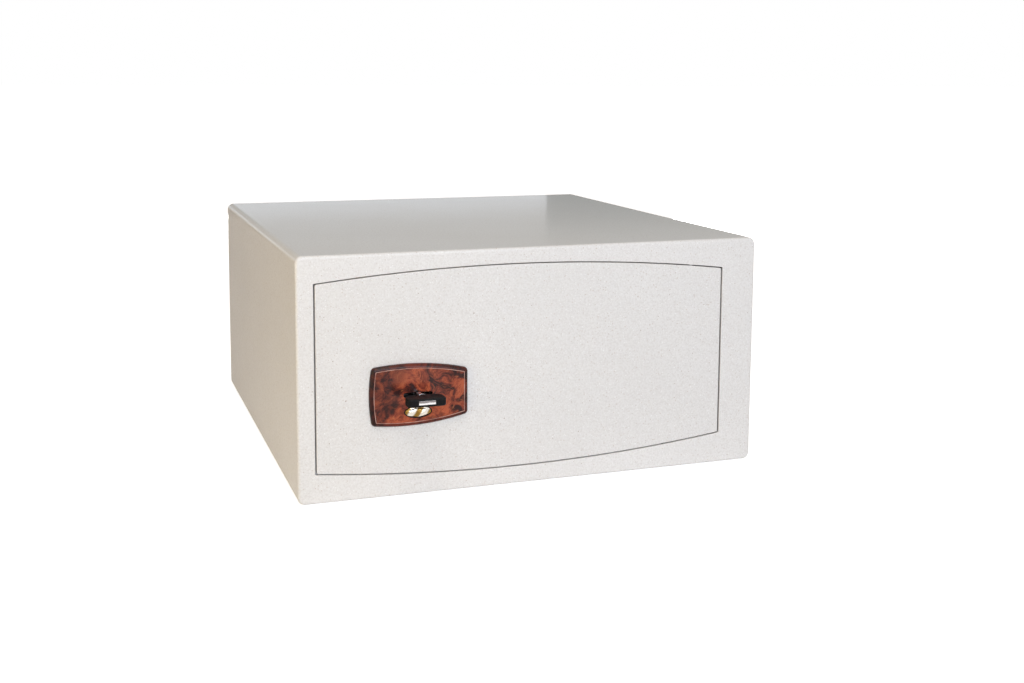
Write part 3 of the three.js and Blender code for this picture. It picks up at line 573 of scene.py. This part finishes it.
def blackened(name):
    """Blackened steel that shows through where it is rubbed."""
    look = Look(name, Metallic=0.85)
    rub = look.noise(210.0, 5.0, 0.7, 0.6)
    tone = look.mix(look.band(rub, 0.6, 0.74), (44, 43, 44), (120, 117, 112))
    look.set("Base Color", tone)
    look.set("Roughness", look.band(rub, 0.3, 0.75, 0.55, 0.34))
    look.bump(look.noise(900.0, 3.0), 0.00003)
    return look.material


def inlay(name):
    """Metallic line under the lacquer, broken here and there in tone. Its pale tone is also a
    painted highlight along the edge of the flat face.
    """
    look = Look(name, Metallic=0.35, Roughness=0.3, Coat_Weight=0.5)
    wear_and_painted_reflection = look.noise(160.0, 3.0)
    tone = look.mix(look.band(wear_and_painted_reflection, 0.35, 0.65), (192, 150, 136), (154, 108, 94))
    look.set("Base Color", tone)
    look.bump(look.noise(500.0, 2.0), 0.00002)
    return look.material


CASING_PAINT = powder_coat("casing paint", (236, 233, 230), 0.2)
DOOR_PAINT = powder_coat("door paint", (234, 231, 228), 0.26)
BURL_FACE = burl("burl face", (1.0, 1.0, 1.0), 0.22)
# A darker, redder copy of the burl for the rim: painted shade.
BURL_RIM_PAINTED_SHADE = burl("burl rim painted shade", (0.6, 0.47, 0.47), 0.25)
INLAY_AND_HIGHLIGHT = inlay("inlay line")
ZINC = zinc("zinc plate")
STEEL = metal("ground steel", (226, 226, 228), (184, 184, 186), 0.14, 1500.0)
KEY_STEEL = key_steel("key steel")
BRASS = metal("brass", (205, 168, 92), (150, 112, 52), 0.14, 1200.0)
BADGE_BRASS = crowned_brass("crowned brass")
FELT_LOOK = felt("grey felt")
PLASTIC = moulded("black plastic")
BLACK_STEEL = blackened("blackened steel")

NODE_LOOKS = {
    "casing_paint": CASING_PAINT,
    "door_paint": DOOR_PAINT,
    "zinc_steel": ZINC,
    "bright_steel": STEEL,
    "brass": BRASS,
    "black_steel": BLACK_STEEL,
    "felt": FELT_LOOK,
    "burl": BURL_FACE,
    "black_plastic": PLASTIC,
}


# Sizes of the pieces. A depth below 0 lies in front of the casing's face.

BODY = {
    "width": 405.0,
    "height": 200.0,
    "depth": 420.0,
    "wall": 3.0,
    "bend": 6.0,
    "return": 6.0,
    "back_edge": 0.8,
}
ANCHOR = {"aside": 120.0, "radius": 5.0, "felt_radius": 9.0}
PANEL = {"thickness": 2.0, "edge": 2.5, "opening_edge": 0.35}
OPENING = {
    "left": -189.0,
    "right": 171.25,
    "top": 187.25,
    "bottom": 14.5,
    "bow": 1530.0,
    "centre": -21.0,
    "corner": 1.0,
}
NEARER = {"side": 0.45, "bow": 0.35}  # how far the panel's opening is drawn in
PLATE = {
    "left": -145.0,
    "right": -62.75,
    "top": 109.5,
    "bottom": 58.25,
    "bow": 205.0,
    "side": 130.0,
    "centre": -114.5,
    "corner": 3.5,
    "face": -4.25,
    "bevel": 3.0,
    "foot": 1.0,
}
# The inlaid line's edges are insets from the plate's outline.
LINE = {"outer": 3.2, "inner": 3.65, "proud": 0.05, "sunk": 0.2}
KEY = {"x": -105.25, "z": 84.25}
SLOT = {"width": 24.25, "height": 4.0, "eye": 3.25, "corner": 1.5, "seat": 4.0, "shoulder": -2.0}
BADGE = {"width": 21.5, "height": 8.25, "lap": 1.0, "below": 14.25, "crown": 1.5, "well": 1.5}
GRIP = {
    "width": 31.5,
    "front": -33.0,
    "rear": -18.0,
    "thickness": 6.75,
    "edge": 1.3,
    "rear_corner": 6.5,
    "front_corner": 3.0,
}
TAB_HOLE = {"width": 14.4, "height": 3.9, "corner": 0.4}
RIB = {"count": 4, "first": 3.6, "pitch": 2.0, "cut": 0.7, "half": 0.6}
FELT = {
    "left": -196.0,
    "front": 30.0,
    "width": 392.0,
    "length": 386.0,
    "thickness": 2.6,
    "underside": 3.02,
    "columns": 98,
    "rows": 96,
}


# Pieces that take the place of CAD nodes

def casing_outline(inset):
    half = BODY["width"] / 2 - inset
    return rounded_box(-half, half, inset, BODY["height"] - inset, BODY["bend"] - inset)


def opening_outline(gap_aside, gap_above):
    """The opening, drawn in at its sides and along its bows."""
    bow_steps = 72
    bow = OPENING["bow"] - gap_above
    middle = BODY["height"] / 2
    discs = [
        (OPENING["right"] - gap_aside - STRAIGHT, middle, STRAIGHT, 1),
        (OPENING["centre"], OPENING["top"] - OPENING["bow"], bow, bow_steps),
        (OPENING["left"] + gap_aside + STRAIGHT, middle, STRAIGHT, 1),
        (OPENING["centre"], OPENING["bottom"] + OPENING["bow"], bow, bow_steps),
    ]
    return disc_outline(discs, 0, OPENING["corner"], 5)


def drill_anchor_holes(piece, radius, bottom, top, steps):
    """The two holes on the floor's middle line."""
    holes = []
    for side in (-1, 1):
        circle = arc(side * ANCHOR["aside"], BODY["depth"] / 2, radius, 0, FULL_TURN, steps)
        holes.append(upright_prism(circle[:-1], bottom, top))
    carve(piece, *holes)


def frame_solid(outer_rings, inner_rings):
    """A solid with a wall outside, a wall inside, and flat faces before and behind."""
    solid = Solid()
    outer_front, outer_back = solid.wall(outer_rings)
    inner_front, inner_back = solid.wall(inner_rings, flip=True)
    solid.cap(outer_front, [inner_front])
    solid.cap(outer_back, [inner_back], flip=True)
    return solid


def casing_wrap():
    """The folded wrap. Its front edge is flush with the front panel's return."""
    depth = BODY["depth"]
    wall = BODY["wall"]
    front = BODY["return"]
    edge = BODY["back_edge"]
    back = quarter_round(casing_outline, depth, edge, -edge, 4)
    outer = [ring(casing_outline(0), front), *back[::-1]]
    inner = [ring(casing_outline(wall), front), ring(casing_outline(wall), depth)]
    mesh = to_mesh("casing_wrap", frame_solid(outer, inner))
    piece = hang("casing_wrap", mesh, "casing", ["body_shell"])
    drill_anchor_holes(piece, ANCHOR["radius"], -1.0, wall + 1.0, 32)
    return piece


def opening_rim():
    """Rings of the opening from its softened front edge to the panel's back."""
    edge = PANEL["opening_edge"]
    steps = 4
    rings = []
    for step in range(steps + 1):
        angle = step / steps * QUARTER
        reach = edge * (1 - math.sin(angle))
        outline = opening_outline(NEARER["side"] - reach, NEARER["bow"] - reach)
        rings.append(ring(outline, edge * (1 - math.cos(angle))))
    rings.append(ring(opening_outline(NEARER["side"], NEARER["bow"]), PANEL["thickness"]))
    return rings


def front_panel():
    """The pressed front with its rounded rim and the softened edge of the opening."""
    wall = BODY["wall"]
    outer = quarter_round(casing_outline, 0.0, PANEL["edge"], PANEL["edge"], 8)
    outer.append(ring(casing_outline(0), BODY["return"]))
    outer.append(ring(casing_outline(wall), BODY["return"]))
    outer.append(ring(casing_outline(wall), PANEL["thickness"]))
    mesh = to_mesh("front_panel", frame_solid(outer, opening_rim()))
    return hang("front_panel", mesh, "casing", ["front_frame"])


def plate_outline(inset):
    bow_steps = 30
    side_steps = 16
    middle = (PLATE["top"] + PLATE["bottom"]) / 2
    discs = [
        (PLATE["right"] - STRAIGHT, middle, STRAIGHT, 1),
        (PLATE["centre"], PLATE["top"] - PLATE["bow"], PLATE["bow"], bow_steps),
        (PLATE["left"] + PLATE["side"], middle, PLATE["side"], side_steps),
        (PLATE["centre"], PLATE["bottom"] + PLATE["bow"], PLATE["bow"], bow_steps),
    ]
    return disc_outline(discs, inset, PLATE["corner"])


def slot_outline(inset):
    """The keyhole: a level slot with a round eye in its middle."""
    steps = 8
    half_width = SLOT["width"] / 2 - inset
    half_height = SLOT["height"] / 2 - inset
    eye = SLOT["eye"] - inset
    corner = min(max(SLOT["corner"] - inset, LEAST_ROUNDING), half_height - 0.1)
    lap = math.asin(half_height / eye)
    x = half_width - corner
    z = half_height - corner
    outline = [
        *arc(x, z, corner, 0, QUARTER, steps),
        *arc(0, 0, eye, lap, math.pi - lap, steps * 2),
        *arc(-x, z, corner, QUARTER, 2 * QUARTER, steps),
        *arc(-x, -z, corner, 2 * QUARTER, 3 * QUARTER, steps),
        *arc(0, 0, eye, math.pi + lap, FULL_TURN - lap, steps * 2),
        *arc(x, -z, corner, 3 * QUARTER, 4 * QUARTER, steps),
    ]
    return moved(outline, KEY["x"], KEY["z"])


def oval_outline(inset, share=1.0):
    """The oval below the key, as a share of its size. An inset of 0 is the well around it."""
    steps = 72
    half_width = (BADGE["width"] / 2 + BADGE["lap"] - inset) * share
    half_height = (BADGE["height"] / 2 + BADGE["lap"] - inset) * share
    outline = []
    for step in range(steps):
        turn = FULL_TURN * step / steps
        outline.append((half_width * math.cos(turn), half_height * math.sin(turn)))
    return moved(outline, KEY["x"], KEY["z"] - BADGE["below"])


def paint_lock_face(mesh, rim_faces, dark_faces):
    """The rim's darker burl copy (painted shade), the dark seat and well (whose black is partly
    painted shade), and the face's film, in the faces' order.
    """
    for look in (BURL_RIM_PAINTED_SHADE, BLACK_STEEL, BURL_FACE):
        mesh.materials.append(look)
    for polygon in mesh.polygons:
        if polygon.index < rim_faces:
            polygon.material_index = 0
        elif polygon.index < dark_faces:
            polygon.material_index = 1
        else:
            polygon.material_index = 2


def lock_face():
    """The lock plate: a burl film over a cast plate with a rounded rim."""
    solid = Solid()
    face = PLATE["face"]
    shoulder = SLOT["shoulder"]
    well = face + BADGE["well"]
    rings = quarter_round(plate_outline, face, PLATE["bevel"], -face - PLATE["foot"], 10)
    rings.append(ring(plate_outline(0), 0.0))
    front, back = solid.wall(rings)
    rim_faces = len(solid.faces)
    slot = slot_outline(0)
    seat = slot_outline(-SLOT["seat"])
    oval = oval_outline(0)
    # The slot's walls, the seat and the oval's well take blackened steel, whose dark also paints
    # the shade that falls in these recesses.
    slot_front, slot_back = solid.wall([ring(slot, face), ring(slot, shoulder)], flip=True)
    seat_front, seat_back = solid.wall([ring(seat, shoulder), ring(seat, 0.0)], flip=True)
    well_top, well_floor = solid.wall([ring(oval, face), ring(oval, well)], flip=True)
    solid.cap(well_floor)
    solid.cap(seat_front, [slot_back], flip=True)
    solid.cap(back, [seat_back], flip=True)
    dark_faces = len(solid.faces)
    solid.cap(front, [slot_front, well_top])
    mesh = to_mesh("lock_face", solid)
    paint_lock_face(mesh, rim_faces, dark_faces)
    return hang("lock_face", mesh, "door", ["lock_plate"])


def inlay_line():
    """The thin line let into the plate's face at the rim's inner edge. Its pale finish is also
    painted highlight.
    """
    top = PLATE["face"] - LINE["proud"]
    bottom = PLATE["face"] + LINE["sunk"]
    outer = plate_outline(LINE["outer"])
    inner = plate_outline(LINE["inner"])
    outer_rings = [ring(outer, top), ring(outer, bottom)]
    inner_rings = [ring(inner, top), ring(inner, bottom)]
    mesh = to_mesh("inlay_line", frame_solid(outer_rings, inner_rings))
    return hang("inlay_line", mesh, "door")


def oval_badge():
    """A plain crowned oval of polished brass."""
    solid = Solid()
    inset = BADGE["lap"]
    crown = BADGE["crown"]
    top = PLATE["face"] - crown
    shares = (0.04, 0.12, 0.2, 0.3, 0.4, 0.5, 0.6, 0.7, 0.79, 0.86, 0.92, 0.96, 0.99, 1.0)
    rings = [ring(oval_outline(inset, share), top + crown * share ** 3) for share in shares]
    rings.append(ring(oval_outline(inset), PLATE["face"] + BADGE["well"]))
    front, back = solid.wall(rings)
    solid.cap(front)
    solid.cap(back, flip=True)
    return hang("oval_badge", to_mesh("oval_badge", solid), "door", ["oval_stud"])


def grip_layers():
    """The inset of the grip's plan and its height, from the underside to the top."""
    steps = 8
    edge = GRIP["edge"]
    thick = GRIP["thickness"] / 2
    layers = []
    for step in range(steps + 1):
        angle = (step / steps - 1) * QUARTER
        layers.append((edge * (1 - math.cos(angle)), -thick + edge * (1 + math.sin(angle))))
    return layers + [(inset, -z) for inset, z in layers[::-1]]


def grip_plan(inset):
    """The grip from above, in x and depth."""
    half = GRIP["width"] / 2
    sides = (inset - half, half - inset, GRIP["front"] + inset, GRIP["rear"] - inset)
    plan = rounded_box(*sides, GRIP["rear_corner"] - inset, low_radius=GRIP["front_corner"] - inset)
    return moved(plan, KEY["x"], 0.0)


def grip_body():
    solid = Solid()
    rows = []
    for inset, z in grip_layers():
        rows.append([(x, depth, KEY["z"] + z) for x, depth in grip_plan(inset)])
    low, high = solid.wall(rows, flip=True)
    solid.faces.append(low)
    solid.faces.append(high[::-1])
    return solid


def tab_hole():
    """The opening that the key's tab fills."""
    half_width = TAB_HOLE["width"] / 2
    half_height = TAB_HOLE["height"] / 2
    box = rounded_box(-half_width, half_width, -half_height, half_height, TAB_HOLE["corner"], 4)
    return prism(moved(box, KEY["x"], KEY["z"]), GRIP["front"] - 1, GRIP["rear"] + 1)


def grip_grooves():
    """Upright grooves across both ends of the grip, which leave ribs between them."""
    reach = 4
    grooves = []
    for side in (-1, 1):
        end = KEY["x"] + side * GRIP["width"] / 2
        for rib in range(RIB["count"]):
            depth = GRIP["front"] + RIB["first"] + rib * RIB["pitch"]
            plan = [
                (end - RIB["cut"], depth),
                (end, depth - RIB["half"]),
                (end + RIB["cut"], depth),
                (end, depth + RIB["half"]),
            ]
            grooves.append(upright_prism(plan, KEY["z"] - reach, KEY["z"] + reach))
    return grooves


def key_grip():
    """The moulded key head: rounded edges, ribs at both ends, open at the front for the tab."""
    piece = hang("key_grip", to_mesh("key_grip", grip_body()), "key", ["key_head"])
    carve(piece, tab_hole(), *grip_grooves())
    break_edges(piece, 0.15, 40)
    return piece


def felt_points():
    """Two layers of points, the upper one slightly uneven."""
    points = []
    for level in (0, 1):
        for row in range(FELT["rows"] + 1):
            depth = FELT["front"] + FELT["length"] * row / FELT["rows"]
            for column in range(FELT["columns"] + 1):
                x = FELT["left"] + FELT["width"] * column / FELT["columns"]
                wave = 0.18 * math.sin(x * 0.061 + depth * 0.027)
                wave += 0.14 * math.sin(depth * 0.083 - x * 0.038)
                points.append((x, depth, FELT["underside"] + level * (FELT["thickness"] + wave)))
    return points


def felt_edge(across, rows):
    """The point numbers round the lower layer, in turn."""
    columns = across - 1
    edge = list(range(columns))
    edge += [columns + row * across for row in range(rows)]
    edge += [rows * across + columns - column for column in range(columns)]
    edge += [(rows - row) * across for row in range(rows)]
    return edge


def felt_faces():
    rows = FELT["rows"]
    across = FELT["columns"] + 1
    layer = across * (rows + 1)
    faces = []
    for row in range(rows):
        for column in range(FELT["columns"]):
            near = row * across + column
            far = near + across
            faces.append([near, far, far + 1, near + 1])
            faces.append([near + layer, near + layer + 1, far + layer + 1, far + layer])
    edge = felt_edge(across, rows)
    for first, second in zip(edge, edge[1:] + edge[:1]):
        faces.append([first, second, second + layer, first + layer])
    return faces


def felt_mat():
    """A felt sheet, cut to the floor, with a slightly uneven top."""
    solid = Solid()
    solid.points = felt_points()
    solid.faces = felt_faces()
    piece = hang("felt_sheet", to_mesh("felt_sheet", solid), "casing", ["floor_mat"])
    drill_anchor_holes(piece, ANCHOR["felt_radius"], 1.0, 9.0, 40)
    return piece


def finish_piece(piece, look=None):
    """Puts the finish on a piece, where it has none yet, and shades it."""
    mesh = piece.data
    if look:
        mesh.materials.clear()
        mesh.materials.append(look)
    shade_smooth(mesh)
    mesh.set_sharp_from_angle(angle=math.radians(SHARP_ANGLE))
    keep_flat_faces(piece, keep_sharp=True)


finish_piece(casing_wrap(), CASING_PAINT)
finish_piece(front_panel(), CASING_PAINT)
finish_piece(lock_face())
finish_piece(inlay_line(), INLAY_AND_HIGHLIGHT)
finish_piece(oval_badge(), BADGE_BRASS)
finish_piece(key_grip(), PLASTIC)
finish_piece(felt_mat(), FELT_LOOK)


# CAD nodes that stay

EDGE_BREAK = {
    "door_plate": 0.35,
    "door_pan": 0.5,
    "bolt_bar": 0.4,
    "lock_case": 0.3,
    "key_blank": 0.5,
}
OTHER_EDGE_BREAK = 0.2
REPLACED = {"body_shell", "front_frame", "lock_plate", "oval_stud", "key_head", "floor_mat"}


def finish_node(name, node):
    """Joins a node's split faces, merges its flat ones and breaks its edges."""
    mesh = node.data
    slot_name = mesh.materials[0].name.split(".")[0]
    mesh.materials.clear()
    mesh.materials.append(KEY_STEEL if name == "key_blank" else NODE_LOOKS[slot_name])
    shade_smooth(mesh)
    weld = node.modifiers.new("join", "WELD")
    weld.merge_threshold = 1e-6
    flat = node.modifiers.new("flat", "DECIMATE")
    flat.decimate_type = "DISSOLVE"
    flat.angle_limit = math.radians(0.5)
    break_edges(node, EDGE_BREAK.get(name, OTHER_EDGE_BREAK), 32)
    keep_flat_faces(node, keep_sharp=False)


for node_name, cad_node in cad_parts.items():
    if node_name not in REPLACED:
        finish_node(node_name, cad_node)


# Floor, world, lamps and camera, in metres

def background_seen(tree, gloss_share):
    """1 for the camera's rays, the share for those that gloss and glass send on, otherwise 0."""
    path = tree.nodes.new("ShaderNodeLightPath").outputs
    sent_on = reckon(tree, "MAXIMUM", path["Is Glossy Ray"], path["Is Transmission Ray"])
    part = reckon(tree, "MULTIPLY", sent_on, gloss_share)
    return reckon(tree, "MAXIMUM", path["Is Camera Ray"], part)


def make_world():
    """White for the eye, for gloss and for glass, and a dim warm room as light."""
    world = bpy.data.worlds.new("studio")
    world.use_nodes = True
    tree = world.node_tree
    mix = tree.nodes.new("ShaderNodeMix")
    mix.data_type = "RGBA"
    mix.inputs["A"].default_value = (0.15, 0.11, 0.07, 1)
    mix.inputs["B"].default_value = (1, 1, 1, 1)
    feed(tree, mix.inputs["Factor"], background_seen(tree, 1.0))
    feed(tree, tree.nodes["Background"].inputs["Color"], mix.outputs["Result"])
    SCENE.world = world


def stage_plane(name, corners):
    """A four-cornered plane with a shader of its own, and that shader's tree."""
    mesh = bpy.data.meshes.new(name)
    mesh.from_pydata(corners, [], [[0, 1, 2, 3]])
    plane = bpy.data.objects.new(name, mesh)
    SCENE.collection.objects.link(plane)
    material = bpy.data.materials.new(name)
    material.use_nodes = True
    mesh.materials.append(material)
    return plane, material.node_tree


def floor_glow(tree):
    """A glow that the camera sees in full and gloss in part, brighter away from the safe."""
    place = tree.nodes.new("ShaderNodeTexCoord").outputs["Object"]
    away = tree.nodes.new("ShaderNodeVectorMath")
    away.operation = "LENGTH"
    feed(tree, away.inputs[0], place)
    brighter = ranged(tree, away.outputs["Value"], 0.6, 2.5, 0.8, 0.95)
    return reckon(tree, "MULTIPLY", background_seen(tree, 0.3), brighter)


def make_floor():
    """A wide white floor just under the casing, which keeps the safe's shadow."""
    reach = 30.0
    z = -0.0004
    corners = [(-reach, -reach, z), (reach, -reach, z), (reach, reach, z), (-reach, reach, z)]
    floor, tree = stage_plane("floor", corners)
    shader = tree.nodes["Principled BSDF"]
    shader.inputs["Base Color"].default_value = (0.94, 0.94, 0.94, 1)
    shader.inputs["Roughness"].default_value = 0.9
    shader.inputs["Specular IOR Level"].default_value = 0.0
    shader.inputs["Emission Color"].default_value = (1, 1, 1, 1)
    feed(tree, shader.inputs["Emission Strength"], floor_glow(tree))


def lamp(name, place, aim, size, power, tint=(1, 1, 1), mirrored=True):
    """An area light that the camera doesn't see, and gloss only where it is mirrored."""
    data = bpy.data.lights.new(name, "AREA")
    data.shape = "RECTANGLE"
    data.size, data.size_y = size
    data.energy = power
    data.color = tint
    light = bpy.data.objects.new(name, data)
    SCENE.collection.objects.link(light)
    light.location = place
    light.rotation_euler = (Vector(aim) - Vector(place)).to_track_quat("-Z", "Y").to_euler()
    light.visible_camera = False
    light.visible_glossy = mirrored


def card(name, left, right, bottom, top, glow, y=2.2):
    """An upright card, behind the safe or before it, that only its gloss sees."""
    corners = [(left, y, bottom), (right, y, bottom), (right, y, top), (left, y, top)]
    panel, tree = stage_plane(name, corners)
    shader = tree.nodes["Principled BSDF"]
    shader.inputs["Base Color"].default_value = (0, 0, 0, 1)
    shader.inputs["Roughness"].default_value = 1.0
    shader.inputs["Specular IOR Level"].default_value = 0.0
    shader.inputs["Emission Color"].default_value = (*glow, 1)
    shader.inputs["Emission Strength"].default_value = 1.0
    panel.visible_camera = False
    panel.visible_diffuse = False
    panel.visible_shadow = False


def make_lamps():
    """A wide cool lamp in front, a warm one at the left, one above and two low ones."""
    lamp(
        "key", place=(-0.1, -2.7, 1.1), aim=(0, -0.1, 0.1), size=(2.4, 1.2),
        power=47.0, tint=(0.731, 0.844, 1.0),
    )
    lamp(
        "left", place=(-0.89, -0.55, 0.21), aim=(-0.2, -0.2, 0.1), size=(0.35, 0.35),
        power=1.39, tint=(1.0, 0.76, 0.33),
    )
    lamp(
        "above", place=(-0.3, -1.2, 2.4), aim=(0, 0, 0.1), size=(1.2, 1.2),
        power=18.9, tint=(1.0, 0.92, 0.82),
    )
    lamp(
        "behind", place=(0.6, 1.7, 0.1), aim=(0, 0.2, 0.1), size=(1.4, 0.18),
        power=11.0, mirrored=False,
    )
    lamp(
        "right", place=(2.0, 0.5, 0.1), aim=(0.2, 0, 0.1), size=(1.2, 0.18),
        power=12.0, mirrored=False,
    )


def make_cards():
    """Cards that the top mirrors, and three small ones for the key and the oval."""
    seam = 0.93
    pale = (0.442, 0.491, 0.507)
    white = (2.0, 2.0, 2.0)
    card("bright card", -2.0, seam, 0.3, 0.44, (1.346, 1.493, 1.667))
    card("dark card", seam, 2.6, 0.3, 0.5, (0.011, 0.11, 0.168))
    card("left card", -2.0, seam, 0.44, 1.6, pale)
    card("right card", seam, 2.6, 0.5, 1.6, pale)
    for left, right in ((-0.115, -0.08), (-0.06, 0.0), (0.02, 0.06)):
        card("glint card", left, right, 0.0, 0.06, white, y=-0.5)


def make_camera():
    data = bpy.data.cameras.new("camera")
    data.lens = 44.8811
    data.sensor_width = 36.0
    data.sensor_fit = "HORIZONTAL"
    data.shift_y = -0.11377
    data.clip_start = 0.05
    camera = bpy.data.objects.new("camera", data)
    SCENE.collection.objects.link(camera)
    camera.location = (-0.36926, -1.18766, 0.34198)
    camera.rotation_euler = [math.radians(angle) for angle in (83.2102, -0.327, -19.3934)]
    SCENE.camera = camera


make_world()
make_floor()
make_lamps()
make_cards()
make_camera()
SCENE.view_settings.view_transform = "Standard"
